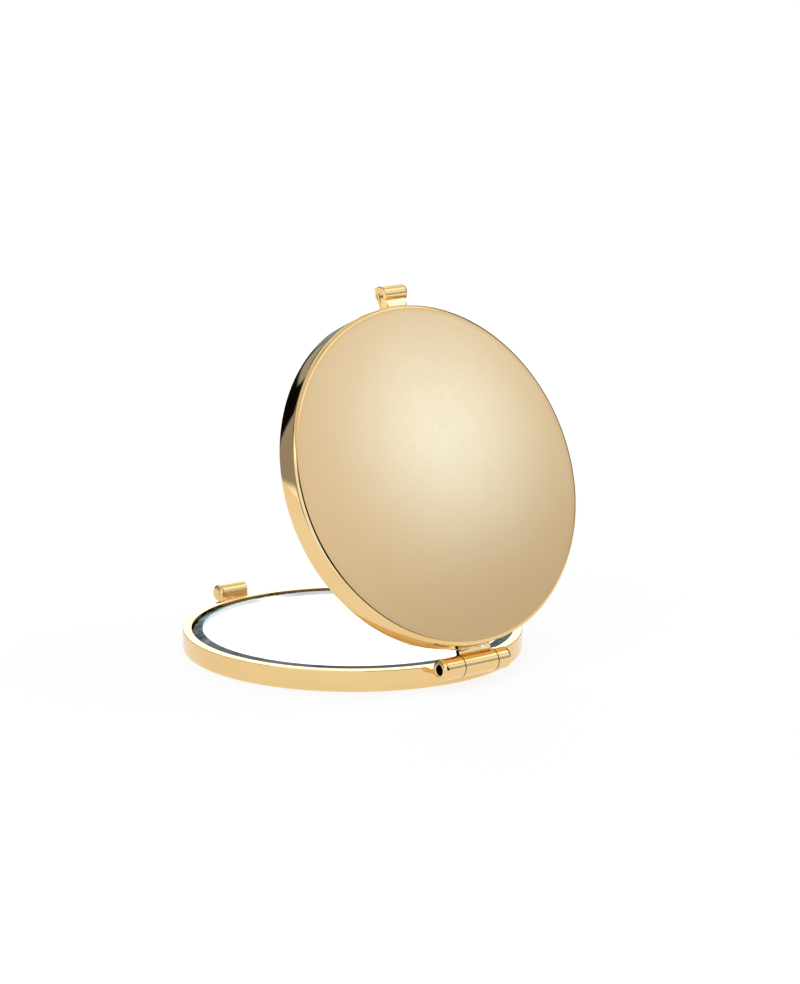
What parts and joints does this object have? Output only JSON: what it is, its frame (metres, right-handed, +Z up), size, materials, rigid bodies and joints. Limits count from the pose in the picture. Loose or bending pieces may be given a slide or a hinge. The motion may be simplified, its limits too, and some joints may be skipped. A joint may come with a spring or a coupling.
{
  "type": "compact mirror",
  "caption": "Round folding pocket mirror: a hinged metal lid and base, each holding a bevelled mirror, with a barrel catch.",
  "frame": {"origin": "centre of the base's flat underside", "axes": "+Z up out of the base's mirror, +Y from the centre towards the hinge, X along the hinge; the catch is at -Y; at rest the lid stands open 66.4 degrees"},
  "size_m": [0.065, 0.0754, 0.071],
  "materials": {
    "polished_gilt": "gold-plated, mirror polished",
    "satin_gilt": "gold-plated, satin back with a polished wall",
    "mirror_glass": "clear float glass, bevelled edge",
    "mirror_silver": "silver coat",
    "backing_paint": "grey protective paint",
    "foam_pad": "white closed-cell foam with adhesive",
    "pin_steel": "blued spring steel",
    "ball_steel": "polished hard steel",
    "spring_steel": "bright spring wire"
  },
  "bodies": {
    "base": {"base_pan": "polished_gilt", "base_adhesive_pad": "foam_pad", "base_mirror_paint": "backing_paint", "base_mirror_silver": "mirror_silver", "base_mirror_glass": "mirror_glass", "base_hinge_knuckle_left": "polished_gilt", "base_hinge_knuckle_right": "polished_gilt", "hinge_pin": "pin_steel", "base_catch_barrel": "polished_gilt", "catch_plug": "polished_gilt", "catch_spring": "spring_steel"},
    "lid": {"lid_pan": "satin_gilt", "lid_adhesive_pad": "foam_pad", "lid_mirror_paint": "backing_paint", "lid_mirror_silver": "mirror_silver", "lid_mirror_glass": "mirror_glass", "lid_hinge_knuckle": "polished_gilt", "lid_catch_barrel": "polished_gilt"},
    "detent_ball": {"catch_ball": "ball_steel"}
  },
  "joints": [
    {"name": "lid_hinge", "type": "hinge", "parent": "base", "child": "lid", "pos_m": [0, 0.03535, 0.0044], "axis": [-1, 0, 0], "range_deg": [-66.4, 106]},
    {"name": "detent_ball_slide", "type": "slide", "parent": "base", "child": "detent_ball", "axis": [1, 0, 0], "range_m": [0, 0.00025], "stiffness_N_per_m": 400, "springref_m": -0.0006, "deforming": ["catch_spring"]}
  ]
}
